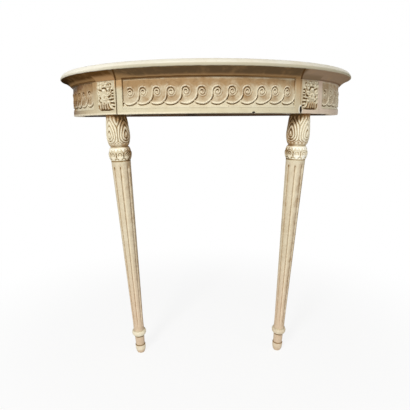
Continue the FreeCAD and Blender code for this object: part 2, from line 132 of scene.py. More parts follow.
def agedPaintGroup():
    group, given, out = newGroup("agedPaint", [("Paint", "Color"), ("Stain", "Color"), ("Grime", "Color"),
                                               ("Stain Amount", "Float"), ("Specks", "Float")])
    where = objectPlace(group)
    blotch = noise(group, where, 11, 6, 0.6)
    cloud = noise(group, where, 46, 5, 0.6)
    grit = noise(group, where, 330, 2, 0.5)
    brush = noise(group, stretched(group, where, (22, 22, 520)), 1, 3, 0.6)
    stainMask = times(group, ramp(group, blotch, 0.42, 0.72), given["Stain Amount"])
    stained = mixTint(group, stainMask, given["Paint"], given["Stain"])
    clouded = mixTint(group, ramp(group, cloud, 0.35, 0.75, 0.0, 0.22), stained, given["Stain"])
    brushed = mixTint(group, ramp(group, brush, 0.5, 0.75, 0.0, 0.16), clouded, given["Grime"], "MULTIPLY")
    speckMask = times(group, ramp(group, grit, 0.66, 0.74), given["Specks"])
    group.links.new(mixTint(group, speckMask, brushed, given["Grime"]), out["Color"])
    group.links.new(ramp(group, cloud, 0.3, 0.7, 0.42, 0.62), out["Roughness"])
    group.links.new(sums(group, "ADD", times(group, brush, 0.5), times(group, cloud, 0.6)), out["Height"])
    return group


def woodGrainGroup():
    group, given, out = newGroup("woodGrain", [("Light", "Color"), ("Dark", "Color"), ("Along", "Vector")])
    where = objectPlace(group)
    squeezed = addNode(group, "ShaderNodeVectorMath", {0: where, 1: given["Along"]}, operation="MULTIPLY").outputs[0]
    rings = noise(group, squeezed, 14, 4, 0.55)
    fibre = noise(group, squeezed, 95, 3, 0.6)
    bands = sums(group, "SINE", times(group, rings, 46.0))
    tone = sums(group, "ADD", ramp(group, bands, -1.0, 1.0, 0.0, 0.5), times(group, fibre, 0.6))
    group.links.new(mixTint(group, ramp(group, tone, 0.2, 0.9), given["Light"], given["Dark"]), out["Color"])
    group.links.new(ramp(group, fibre, 0.3, 0.7, 0.55, 0.75), out["Roughness"])
    group.links.new(fibre, out["Height"])
    return group


agedPaint = agedPaintGroup()
woodGrain = woodGrainGroup()

tints = {  # as a screen shows them
    "paint": colour(227, 223, 207),
    "stain": colour(216, 203, 174),
    "grime": colour(112, 88, 58),
    "apron": colour(214, 205, 176),
    "carved": colour(220, 211, 184),
    # a painted highlight colour
    "highlight": colour(255, 252, 238),
    "apronStain": colour(200, 184, 150),
    "worn": colour(248, 238, 212),
    # glaze in the cuts, also used for painted shade in the joints and the carving's shadows
    "glazeAndShade": colour(92, 70, 40),
    "tan": colour(184, 156, 118),
    "footTan": colour(184, 146, 100),
    "brown": colour(160, 128, 88),
    # the cove colours, on the rails and over the blocks' stiles, are painted shade under the lip, darkest at the left
    # end
    "coveShade": colour(104, 84, 60),
    "coveShadeLeft": colour(100, 70, 37),
    "coveShadeEnd": colour(44, 30, 18),
    "coveShadeRight": colour(159, 136, 113),
    "stileLeft": colour(186, 147, 104),
    "stileRight": colour(138, 117, 92),
    # a painted shadow line along the foot of the cove, also the colour of the dark butt joints between the mouldings
    "line": colour(86, 58, 28),
    "shade": colour(186, 178, 153),
    # umber flecks, and painted shade at the ends of the apron
    "umberAndShade": colour(118, 88, 56),
    "blush": colour(224, 194, 166),
    "pink": colour(232, 208, 192),
    # dark spots at the chips
    "chipDark": colour(38, 28, 18),
}


def newMaterial(name):
    material = bpy.data.materials.new(name)
    material.use_nodes = True
    tree = material.node_tree
    return material, tree, tree.nodes["Principled BSDF"].inputs


def usePaint(tree, paint, stain, amount, specks):
    return addNode(tree, "ShaderNodeGroup", {"Paint": tints[paint], "Stain": tints[stain], "Grime": tints["grime"],
                                             "Stain Amount": amount, "Specks": specks}, node_tree=agedPaint).outputs


def coat(tree, shader, tint, finish, bump, depth, shine=0.5):  # the finish gives roughness and height
    tree.links.new(tint, shader["Base Color"])
    tree.links.new(finish["Roughness"], shader["Roughness"])
    shader["Specular IOR Level"].default_value = shine
    raised = addNode(tree, "ShaderNodeBump", {"Height": finish["Height"], "Strength": bump, "Distance": depth})
    tree.links.new(raised.outputs[0], shader["Normal"])


def planAngle(tree, where):  # bearing round the half-round plan, in radians
    parts = addNode(tree, "ShaderNodeSeparateXYZ", {0: where}).outputs
    return sums(tree, "ARCTAN2", parts["X"], sums(tree, "SUBTRACT", table["wallY"], parts["Y"])), parts["Z"]


def bySide(tree, angle, left=0.0, right=1.0):  # one value on the left half and one on the right
    return ramp(tree, angle, -0.1, 0.1, left, right)


nosing = {  # depths below the top face, bearings in radians: from and to, and the shares there if not 0 and 1
    "wander": 2 * mm,
    "shadeDepth": (8 * mm, 10.5 * mm),
    "shadeBearing": (-0.85, -0.35, 0.0, 0.9),
    # where the upper nosing is painted pale as a highlight
    "highlightDepth": (1 * mm, 3 * mm),
    "highlightStart": (-0.35, -0.8, 0.0, 0.5),
    "highlightEnd": (-1.25, -1.0),
}


def boardPaint():
    material, tree, shader = newMaterial("board_paint")
    aged = usePaint(tree, "paint", "stain", 0.35, 0.35)
    where = objectPlace(tree)
    angle, z = planAngle(tree, where)
    depth = sums(tree, "SUBTRACT", boardHigh.z, z)
    wander = times(tree, noise(tree, where, 18, 3), nosing["wander"])
    # the lower nosing is painted darker as shade, and the upper nosing towards the left pale as a highlight
    under = ramp(tree, sums(tree, "SUBTRACT", depth, wander), *nosing["shadeDepth"])
    under = times(tree, under, ramp(tree, angle, *nosing["shadeBearing"]))
    highlighted = times(tree, ramp(tree, angle, *nosing["highlightStart"]), ramp(tree, angle, *nosing["highlightEnd"]))
    highlighted = times(tree, highlighted, ramp(tree, depth, *nosing["highlightDepth"]))
    worn = mixTint(tree, highlighted, aged["Color"], tints["highlight"])
    coat(tree, shader, mixTint(tree, under, worn, tints["shade"]), aged, 0.25, 0.6 * mm)
    return material


wearAndShading = {
    "jointAngle": math.radians(33),  # the joints between the front rail and the leg blocks
    "jointLine": (2.9 * mm, 0.87 * mm),  # the dark line, off the middle of a joint, partly painted shade beside the proud block
    "jointWander": 1.2 * mm,
    "jointPower": (0.85, 0.25),  # left and right
    "chipHighlight": (math.radians(33.1), 704 * mm, 7.2 * mm, 12.5 * mm),  # a painted highlight on the flanks of the chip at the joint
    "fray": (1.5, 0.9, 0.9),  # where the edge of a spot starts and ends, and how far it wanders
    "chips": [  # bearing, height, half width, half height
        (math.radians(33.2), 703.5 * mm, 4.2 * mm, 10.5 * mm),
        (math.radians(14.45), 696.5 * mm, 4.2 * mm, 2.8 * mm),
    ],
}


def pastJoints(tree, angle):  # bearing past the joint on either side, on the left and on the right
    turn = wearAndShading["jointAngle"]
    return (sums(tree, "SUBTRACT", absolute(tree, angle), turn), sums(tree, "ADD", angle, turn),
            sums(tree, "SUBTRACT", angle, turn))


moulding = {  # as above, with bearings past the joints and heights above the foot of the cove
    "foot": table["apronTop"] - 24.5 * mm,
    "wander": 2 * mm,
    "soft": 0.004,
    "blockEnd": (0.178, 0.17),
    "stileStart": (-0.05, -0.044),
    "darkening": (-0.1, -0.85),
    "leftJoint": (-0.01, 0.03),
    "rightJoint": (-0.03, 0.01),
    "litFoot": (0.16, 0.02, 8.5 * mm, 20 * mm),  # the foot is painted paler where less shade falls; it climbs towards the left joint
    "stile": (14 * mm, 6 * mm),
    "leftRail": (-0.17, -0.178),
    "leftFoot": (10.5 * mm, 4.5 * mm, 0.0, 0.6),
    "line": (3.4 * mm, 2.2 * mm),
    "linePower": (0.15, 0.4, 0.85, 0.4),
    "lineLeft": (-0.2, 0.0, 0.75, 1.0),
    "lip": (2.5 * mm, 4 * mm),  # below the top of the apron
    "butt": (3.4 * mm, 1.4 * mm, 0.0, 0.9),  # off the middle of a joint
}


def mouldingPaint():
    material, tree, shader = newMaterial("moulding_paint")
    aged = usePaint(tree, "paint", "stain", 0.4, 0.4)
    where = objectPlace(tree)
    angle, z = planAngle(tree, where)
    past, pastLeft, pastRight = pastJoints(tree, angle)
    wander = times(tree, noise(tree, where, 60, 3), moulding["wander"])
    level = sums(tree, "ADD", z, sums(tree, "SUBTRACT", wander, moulding["foot"] + moulding["wander"] / 2))
    # the cove under the lip is painted dark as shade: darkest towards the left end and greyer on the right, with tan
    # patches, and paler towards its foot, over the stiles and along the left rail's foot, where less shade falls
    leftward = mixTint(tree, ramp(tree, pastLeft, *moulding["darkening"]), tints["coveShadeLeft"], tints["coveShadeEnd"])
    tint = mixTint(tree, ramp(tree, pastLeft, *moulding["leftJoint"]), leftward, tints["coveShade"])
    tint = mixTint(tree, ramp(tree, pastRight, *moulding["rightJoint"]), tint, tints["coveShadeRight"])
    patch = noise(tree, where, 42, 4, 0.6)
    tint = mixTint(tree, ramp(tree, patch, 0.45, 0.75, 0.0, 0.25), tint, tints["footTan"])
    front = ramp(tree, past, moulding["soft"], -moulding["soft"])
    height = sums(tree, "DIVIDE", level, ramp(tree, pastLeft, *moulding["litFoot"]))
    tint = mixTint(tree, times(tree, front, ramp(tree, height, 1.0, 0.3, 0.0, 0.62)), tint, tints["footTan"])
    blockEnd = ramp(tree, past, *moulding["blockEnd"])
    onBlock = times(tree, ramp(tree, past, -moulding["soft"], moulding["soft"]), blockEnd)
    stile = mixTint(tree, bySide(tree, angle), tints["stileLeft"], tints["stileRight"])
    tint = mixTint(tree, times(tree, onBlock, ramp(tree, level, *moulding["stile"])), tint, stile)
    leftFoot = times(tree, ramp(tree, pastLeft, *moulding["leftRail"]), ramp(tree, level, *moulding["leftFoot"]))
    tint = mixTint(tree, leftFoot, tint, tints["footTan"])
    # a painted shadow line along the foot of the cove, clear of the stiles
    stiles = times(tree, ramp(tree, past, *moulding["stileStart"]), blockEnd)
    power = times(tree, ramp(tree, angle, *moulding["linePower"]), ramp(tree, pastLeft, *moulding["lineLeft"]))
    line = times(tree, sums(tree, "SUBTRACT", 1.0, stiles), power)
    tint = mixTint(tree, times(tree, line, ramp(tree, level, *moulding["line"])), tint, tints["line"])
    sunk = sums(tree, "SUBTRACT", table["apronTop"], sums(tree, "ADD", z, wander))
    underLip = ramp(tree, sunk, *moulding["lip"])
    fillet = mixTint(tree, ramp(tree, angle, *nosing["shadeBearing"]), aged["Color"], tints["shade"])
    dark = mixTint(tree, underLip, fillet, tint)
    x = addNode(tree, "ShaderNodeSeparateXYZ", {0: where}).outputs["X"]
    off = sums(tree, "SUBTRACT", absolute(tree, x), table["apronRadius"] * math.sin(wearAndShading["jointAngle"]))
    butt = times(tree, ramp(tree, absolute(tree, off), *moulding["butt"]), underLip)
    coat(tree, shader, mixTint(tree, butt, dark, tints["line"]), aged, 0.3, 0.6 * mm, shine=0.0)
    return material


def jointShade(tree, past, angle, wander):  # a dark line along the joints between the rail and the blocks: the joint itself and painted shade beside the proud blocks, so most of it on the left
    across = times(tree, absolute(tree, past), table["apronRadius"])
    line = ramp(tree, sums(tree, "ADD", across, times(tree, wander, wearAndShading["jointWander"])), *wearAndShading["jointLine"])
    return times(tree, line, bySide(tree, angle, *wearAndShading["jointPower"]))


def spotShade(tree, angle, z, wander, turn, level, halfWidth, halfHeight):  # one round spot, for the chips and knocks and for the painted highlight round a chip
    across = times(tree, sums(tree, "SUBTRACT", angle, turn), table["apronRadius"] / halfWidth)
    upward = sums(tree, "DIVIDE", sums(tree, "SUBTRACT", z, level), halfHeight)
    far = sums(tree, "ADD", times(tree, across, across), times(tree, upward, upward))
    start, end, stray = wearAndShading["fray"]
    return ramp(tree, sums(tree, "ADD", far, times(tree, wander, stray)), start, end)


apron = {  # as above, with heights over the lower edge
    "wander": 30 * mm,
    "softTan": (66 * mm, 102 * mm, 0.0, 0.85),
    "steepTan": (66 * mm, 80 * mm, 0.0, 0.9),
    "leftStain": (-0.02, -0.25, 0.0, 0.5),
    "climb": (30 * mm, 90 * mm, 0.1, 0.75),
    "leftRail": (-0.15, -0.2),
    "besideStart": (-0.05, -0.03),
    "besideEnd": (0.01, 0.0),
    "pinkStart": (0.003, 0.02, 0.0, 0.6),
    # painted shade towards the ends of the apron
    "endShade": (0.2, 0.64),
    "endShadePower": (0.88, 0.2),  # left and right
    "edge": (5.5 * mm, 2 * mm),
    "edgePower": (-0.25, 0.05, 0.6, 0.1),
    # the painted highlight round the chip
    "chipHighlightPower": 0.75,
}


def apronPaint():
    material, tree, shader = newMaterial("apron_paint")
    aged = usePaint(tree, "apron", "apronStain", 0.6, 0.6)
    where = objectPlace(tree)
    angle, z = planAngle(tree, where)
    past, pastLeft, pastRight = pastJoints(tree, angle)
    above = sums(tree, "SUBTRACT", z, table["apronBase"])
    patch = noise(tree, where, 34, 4)
    wander = times(tree, patch, apron["wander"])
    level = sums(tree, "ADD", above, wander)
    rightward = bySide(tree, angle)
    soft = ramp(tree, level, *apron["softTan"])
    steep = ramp(tree, sums(tree, "ADD", above, times(tree, wander, 0.5)), *apron["steepTan"])
    rising = addNode(tree, "ShaderNodeMix", {0: rightward, 2: steep, 3: soft}).outputs[0]
    tanned = mixTint(tree, rising, aged["Color"], mixTint(tree, rightward, tints["footTan"], tints["brown"]))
    tanned = mixTint(tree, ramp(tree, pastLeft, *apron["leftStain"]), tanned, tints["apronStain"])
    high = ramp(tree, level, *apron["climb"])
    tanned = mixTint(tree, times(tree, high, ramp(tree, pastLeft, *apron["leftRail"])), tanned, tints["brown"])
    beside = times(tree, ramp(tree, pastRight, *apron["besideStart"]), ramp(tree, pastRight, *apron["besideEnd"]))
    tanned = mixTint(tree, times(tree, beside, high), tanned, tints["footTan"])
    tanned = mixTint(tree, ramp(tree, pastRight, *apron["pinkStart"]), tanned, tints["pink"])
    # painted shade towards the ends of the apron, most on the left
    endShade = times(tree, ramp(tree, past, *apron["endShade"]), bySide(tree, angle, *apron["endShadePower"]))
    tanned = mixTint(tree, endShade, tanned, tints["umberAndShade"])
    edge = times(tree, ramp(tree, above, *apron["edge"]), ramp(tree, angle, *apron["edgePower"]))
    tanned = mixTint(tree, edge, tanned, tints["worn"])
    # the joint lines, the painted highlight round a chip, and the dark chips
    marked = mixTint(tree, jointShade(tree, past, angle, patch), tanned, tints["glazeAndShade"])
    fine = noise(tree, where, 260, 3)
    chipHighlight = spotShade(tree, angle, z, fine, *wearAndShading["chipHighlight"])
    marked = mixTint(tree, times(tree, chipHighlight, apron["chipHighlightPower"]), marked, tints["highlight"])
    for chip in wearAndShading["chips"]:
        marked = mixTint(tree, spotShade(tree, angle, z, fine, *chip), marked, tints["chipDark"])
    coat(tree, shader, marked, aged, 0.35, 0.7 * mm, shine=0.06)
    return material


glazeAndShade = {  # as above, over the relief tone or the stain that a carved mesh carries; both take painted shade as well as glaze and stain
    "patch": 0.3,
    "cloud": 1.7,
    "blush": 0.7,
    "stainAndShade": (0.0, 1.1, 0.0, 0.95),
    "flecks": (0.5, 0.68, 0.0, 0.36),
    "flecked": (0.5, 1.1),
    "tan": (0.7, 0.35),
    "deep": (0.42, 0.08),
    "worn": (0.95, 1.25, 0.0, 0.75),
    "highlight": (1.22, 1.5, 0.0, 0.85),
}


def glazedCarving():
    material, tree, shader = newMaterial("glazed_carving")
    aged = usePaint(tree, "carved", "apronStain", 0.55, 0.5)
    where = objectPlace(tree)
    reliefAndShading, stain, blush = [addNode(tree, "ShaderNodeAttribute", attribute_name=name).outputs["Fac"]
                            for name in ("reliefAndShading", "stain", "blush")]
    patch = sums(tree, "SUBTRACT", noise(tree, where, 120, 4, 0.6), 0.5)
    depth = sums(tree, "SUBTRACT", reliefAndShading, times(tree, patch, glazeAndShade["patch"]))
    pinked = mixTint(tree, times(tree, blush, glazeAndShade["blush"]), aged["Color"], tints["blush"])
    cloud = sums(tree, "SUBTRACT", noise(tree, where, 42, 5, 0.6), 0.5)
    # the stain carries painted shade too, on the legs and at the strip ends
    stainAndShade = sums(tree, "ADD", stain, times(tree, cloud, glazeAndShade["cloud"]))
    tanned = mixTint(tree, ramp(tree, stainAndShade, *glazeAndShade["stainAndShade"]), pinked, tints["brown"])
    flecks = ramp(tree, noise(tree, where, 110, 4, 0.65), *glazeAndShade["flecks"])
    tanned = mixTint(tree, times(tree, flecks, ramp(tree, stain, *glazeAndShade["flecked"])), tanned, tints["umberAndShade"])
    # the relief tone carries the glaze in the cuts and painted shade and highlights: low tone turns tan and then glaze
    # dark, high tone worn cream and then highlight pale
    middle = mixTint(tree, ramp(tree, depth, *glazeAndShade["tan"]), tanned, tints["tan"], "MULTIPLY")
    deep = mixTint(tree, ramp(tree, depth, *glazeAndShade["deep"]), middle, tints["glazeAndShade"])
    worn = mixTint(tree, ramp(tree, depth, *glazeAndShade["worn"]), deep, tints["worn"])
    worn = mixTint(tree, ramp(tree, depth, *glazeAndShade["highlight"]), worn, tints["highlight"])
    coat(tree, shader, worn, aged, 0.3, 0.6 * mm, shine=0.06)
    return material


def bareWood(name, light, dark, along):
    material, tree, shader = newMaterial(name)
    grain = addNode(tree, "ShaderNodeGroup", {"Light": colour(*light), "Dark": colour(*dark), "Along": along},
                    node_tree=woodGrain).outputs
    coat(tree, shader, grain["Color"], grain, 0.3, 0.5 * mm)
    return material


def screwSteel():
    material, tree, shader = newMaterial("screw_steel")
    where = objectPlace(tree)
    scratch = noise(tree, stretched(tree, where, (900, 900, 60)), 1, 3)
    rust = noise(tree, where, 300, 4)
    worn = mixTint(tree, ramp(tree, rust, 0.45, 0.7), colour(150, 146, 140), colour(104, 82, 62))
    tree.links.new(worn, shader["Base Color"])
    tree.links.new(ramp(tree, scratch, 0.3, 0.7, 0.3, 0.55), shader["Roughness"])
    shader["Metallic"].default_value = 0.9
    return material


pineAndShade = ((104, 76, 50), (64, 45, 28))  # light and dark, darkened as painted shade inside the case
beech = ((190, 156, 112), (150, 116, 78))
finishes = {
    "board": boardPaint(),
    "moulding": mouldingPaint(),
    "apron": apronPaint(),
    "carving": glazedCarving(),
    "oldPineAndShade": bareWood("old_pine_and_shade", *pineAndShade, (0.12, 1.0, 1.0)),
    "oldPineCrossAndShade": bareWood("old_pine_cross_and_shade", *pineAndShade, (1.0, 0.12, 1.0)),
    "dowelBeech": bareWood("dowel_beech", *beech, (0.2, 0.2, 1.0)),
    "steel": screwSteel(),
}
print("finishes ready")

coats = {
    "board": ["top_board"],
    "moulding": ["front_edge_moulding", "left_edge_moulding", "right_edge_moulding"],
    "apron": ["front_rail", "left_side_rail", "right_side_rail", "left_leg_block", "right_leg_block"],
    "oldPineAndShade": ["back_rail", "left_corner_block", "right_corner_block", "left_glue_block", "right_glue_block"],
    "oldPineCrossAndShade": ["cross_rail"],
    "dowelBeech": ["front_joint_dowels", "side_joint_dowels", "back_joint_dowels"],
    "steel": ["top_screws"],
}
for finish, nodes in coats.items():
    for node in nodes:
        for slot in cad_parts[node].material_slots:
            slot.material = finishes[finish]


def makePiece(name, bm, slotName, *nodes, crease=40):
    mesh = bpy.data.meshes.new(name)
    bm.to_mesh(mesh)
    bm.free()
    mesh.shade_smooth()
    mesh.set_sharp_from_angle(angle=math.radians(crease))
    mesh.materials.append(finishes["carving"])
    piece = bpy.data.objects.new(name, mesh)
    bpy.context.scene.collection.objects.link(piece)
    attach(piece, "root")
    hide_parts(*nodes)
    print(name, "made with", len(mesh.polygons), "faces")


# carved boards: a fine grid bent to the curve of the apron, cut down by a height

def smoothLine(points, steps):  # a smooth line through a few points
    p = np.array(points, float)
    p = np.vstack([2 * p[0] - p[1], p, 2 * p[-1] - p[-2]])
    t = np.linspace(0, 1, steps, endpoint=False)[:, None]
    spans = [0.5 * (2 * b + (c - a) * t + (2 * a - 5 * b + 4 * c - d) * t ** 2 + (3 * b - a - 3 * c + d) * t ** 3)
             for a, b, c, d in zip(p, p[1:], p[2:], p[3:])]
    return np.vstack(spans + [p[-2]])


def nearest(x, z, line, power):  # distance, side and power of the nearest place on a carved line
    ahead = np.gradient(line, axis=0)
    far = np.full(x.shape, 1e6)
    side = np.zeros(x.shape)
    strength = np.zeros(x.shape)
    for (px, pz), (tx, tz), force in zip(line, ahead, power):
        dx, dz = x - px, z - pz
        d = dx * dx + dz * dz
        closer = d < far
        far = np.where(closer, d, far)
        side = np.where(closer, tx * dz - tz * dx, side)
        strength = np.where(closer, force, strength)
    return np.sqrt(far), side, strength


def fadeIn(value, low, high):  # smooth step, falling where low is above high
    t = np.clip((value - low) / (high - low), 0, 1)
    return t * t * (3 - 2 * t)


def within(value, rising, falling):  # 1 between two smooth steps
    return fadeIn(value, *rising) * fadeIn(value, *falling)


def carvedBoard(name, startAngle, endAngle, form, cut, node):
    radius, sweep = table["apronRadius"], endAngle - startAngle
    low, high, step = form["low"], form["high"], form["step"]
    bm = bmesh.new()
    bmesh.ops.create_grid(bm, x_segments=round(sweep * radius / step), y_segments=round((high - low) / step), size=0.5)
    reliefAndShading = bm.verts.layers.float.new("reliefAndShading")
    stain = bm.verts.layers.float.new("stain")
    across = np.array([v.co.x + 0.5 for v in bm.verts])
    upward = np.array([v.co.y + 0.5 for v in bm.verts])
    height, tone, shade = cut(across * sweep * radius / mm, (upward - 0.5) * (high - low) / mm)
    angles = startAngle + across * sweep
    for v, angle, share, h, t, s in zip(bm.verts, angles, upward, height, tone, shade):
        v.co = onPlan(radius + h * mm, angle, low + share * (high - low))
        v[reliefAndShading], v[stain] = t, s
    rim = [e for e in bm.edges if e.is_boundary]
    skirt = bmesh.ops.extrude_edge_only(bm, edges=rim)["geom"]
    inner = []  # the back needs no vertices up its two ends
    for v in [g for g in skirt if isinstance(g, bmesh.types.BMVert)]:
        angle, level = math.atan2(v.co.x, table["wallY"] - v.co.y), v.co.z
        v.co = onPlan(form["backRadius"], angle, level)
        atEnd = min(abs(angle - startAngle), abs(angle - endAngle)) < 1e-5  # radians
        if atEnd and low + hair < level < high - hair:
            inner.append(v)
    bmesh.ops.dissolve_verts(bm, verts=inner)
    openEdges = [e for e in bm.edges if e.is_boundary]
    chains = [e for e in openEdges if abs(e.verts[0].co.z - e.verts[1].co.z) < hair]
    bmesh.ops.bridge_loops(bm, edges=chains)
    bmesh.ops.recalc_face_normals(bm, faces=bm.faces)
    makePiece(name, bm, "glazed_carving", node)


scroll = {  # millimetres round each eye, x along the rail and z up
    "pitch": 36.2,
    "step": 0.8 * mm,
    "lift": 2.6,
    "rim": [(-53.5, -22.5), (-45.0, -26.4), (-36.0, -27.4), (-27.5, -25.4), (-20.3, -21.2), (-14.8, -15.6),
            (-12.4, -9.2), (-11.5, -1.5), (-10.6, 5.3), (-8.1, 9.6), (-4.0, 11.8), (0, 12.2)],
    "curl": [12.2, 9.6, 9.4, 6.6, 6.0, 4.4, 3.8, 3.0],  # radius at each quarter turn from the top
    "eye": (13.5, 11),
    "face": -2.7,
    "bead": 1.5,
    "beadHalf": (2.1, 1.3),  # on the wave and in the eye
    "dish": 1.3,
    "dishReach": 11,
    "groove": 2.6,
    "depths": (-4.4, -0.25),  # the deepest and the shallowest cut
    "low": 708.1 * mm,
    "high": 776.9 * mm,
    "backRadius": 413.3 * mm,
    "stem": (16, 13.5),  # the row starts without a stem
    "strips": [  # name, bearings of both ends, soil, brown along the top and shadow, each at the start and the end
        ("front", -30.46, 30.46, 0.5, (0.68, 0.4), (0, 0)),
        ("left", -86.13, -45.54, 0.75, (0.95, 0.8), (0.46, 0)),
        ("right", 45.54, 86.13, 0.42, (0.3, 0.4), (0, 0.3)),
    ],
}


def scrollLine():
    turns = np.arange(len(scroll["curl"])) * 90.0
    swing = np.linspace(0, turns[-1], 130)
    radii = smoothLine(np.column_stack([turns, scroll["curl"]]), 24)
    r = np.interp(swing, radii[:, 0], radii[:, 1])
    bearing = np.radians(90 - swing)
    curl = np.column_stack([r * np.cos(bearing), r * np.sin(bearing)])
    line = np.vstack([smoothLine(scroll["rim"], 14), curl[3:]])
    return line, fadeIn(np.arange(len(line)), 0, 12)


def scrollCut(s, z, soil, brown, shadow):  # height, tone and stain by the place along the strip and up from its middle
    pitch, length = scroll["pitch"], s.max()
    wander = 0.7 * np.sin(0.043 * s + 1.3) + 0.45 * np.sin(0.117 * s + 0.05 * z)  # no two scrolls quite alike
    rise = 0.5 * np.sin(0.061 * s + 0.4) + 0.3 * np.sin(0.19 * s + 0.03 * z)
    x = ((s - length / 2 + wander) / pitch % 1 - 0.5) * pitch
    y = z + rise - scroll["lift"]
    line, power = scrollLine()
    found = [nearest(x - shift, y, line, power) for shift in (0, pitch)]
    take = found[0][0] < found[1][0]
    far, side, strength = (np.where(take, a, b) for a, b in zip(*found))
    strength = strength * (1 - fadeIn(s, *scroll["stem"]) * fadeIn(y, -23, -18))
    spread = np.hypot(x, y)
    inEye = fadeIn(spread, *scroll["eye"])
    wide, fine = scroll["beadHalf"]
    bead = np.exp(-(far / (wide + (fine - wide) * inEye)) ** 2) * strength
    bead *= 1 - 0.6 * inEye * fadeIn(spread, 7.5, 9.5) * fadeIn(x, -1, 4) * fadeIn(y, 0, 5)
    bead *= 1 - 0.45 * np.exp(-(((x + 11.5) / 3) ** 2 + ((y + 1) / 8) ** 2))
    grooveAndShadow = within(far, (0.6, 2.0), (4.6, 2.2)) * (side < 0) * strength
    dish = np.where(side > 0, np.exp(-far / scroll["dishReach"]), 0) * (1 - inEye) * strength
    hollowAndShadow = np.exp(-((spread - 12.6) / 2.0) ** 2) * fadeIn(x - 0.6 * y, -2, 5) * fadeIn(y, 5, -1)  # a hollow below the eye, painted dark as its shadow
    crest = np.exp(-((np.hypot(x, y - 2) - 17.5) / 2.6) ** 2) * fadeIn(y, 4, 10)  # above it
    height = scroll["face"] + scroll["dish"] * dish - scroll["groove"] * grooveAndShadow * (1 - 0.35 * inEye)
    height += scroll["bead"] * bead - 0.7 * hollowAndShadow
    # the beads are painted lighter on their lower turns and the dishes towards their rims, as highlights; the groove
    # under each bead and the hollow below the eye are painted dark as their shadow, less so in the eye below its middle
    tone = 0.82 + (0.26 + 0.2 * fadeIn(y, -10, -22) + 0.14 * inEye) * bead + 0.2 * dish + 0.05 * crest
    tone -= 1.05 * grooveAndShadow * (1 - inEye * (0.7 - 0.6 * fadeIn(y, -3, 5))) + 0.42 * hollowAndShadow
    boss = np.exp(-(spread / 2.4) ** 4)
    height += (-0.8 - height) * boss
    tone += (1.15 - tone) * boss
    band = fadeIn(z, -28, -31)  # the plain lower edge of the panel
    height += band * (-0.3 - height) * 0.9
    tone += band * (0.9 - tone)
    # both ends of the strip are painted darker as the shadow of the recess's edges, the start more
    border = np.maximum(fadeIn(s, 3.2, 1.2), 0.7 * fadeIn(s, length - 2.6, length - 1.0))
    tone -= 0.85 * border * fadeIn(z, -31, -26) + 1.2 * max(soil - 0.5, 0) * fadeIn(z, 8, 24)
    browned = brown[0] + (brown[1] - brown[0]) * s / length
    stain = soil * fadeIn(z, -29, -16) + browned * fadeIn(z, 2, 24) - 0.14 * crest
    # painted shade under each eye
    stain += 0.16 * np.exp(-(np.hypot(x - 3, y + 15) / 6.5) ** 2)
    stain *= 1 - 0.35 * fadeIn(z, 30, 31.5)
    # painted shade towards the strip ends, also taken into the stain
    stripEndShade = shadow[0] * fadeIn(s, 255, 145) + shadow[1] * fadeIn(s, length - 140, length - 95)
    return np.clip(height, *scroll["depths"]), np.clip(tone - stripEndShade, 0, 1.2), stain + 0.6 * stripEndShade


def scrollStrips():
    for name, start, end, *soiling in scroll["strips"]:
        carvedBoard(name + "_scrolls", math.radians(start), math.radians(end), scroll,
                    lambda s, z: scrollCut(s, z, *soiling), name + "_scroll_strip")


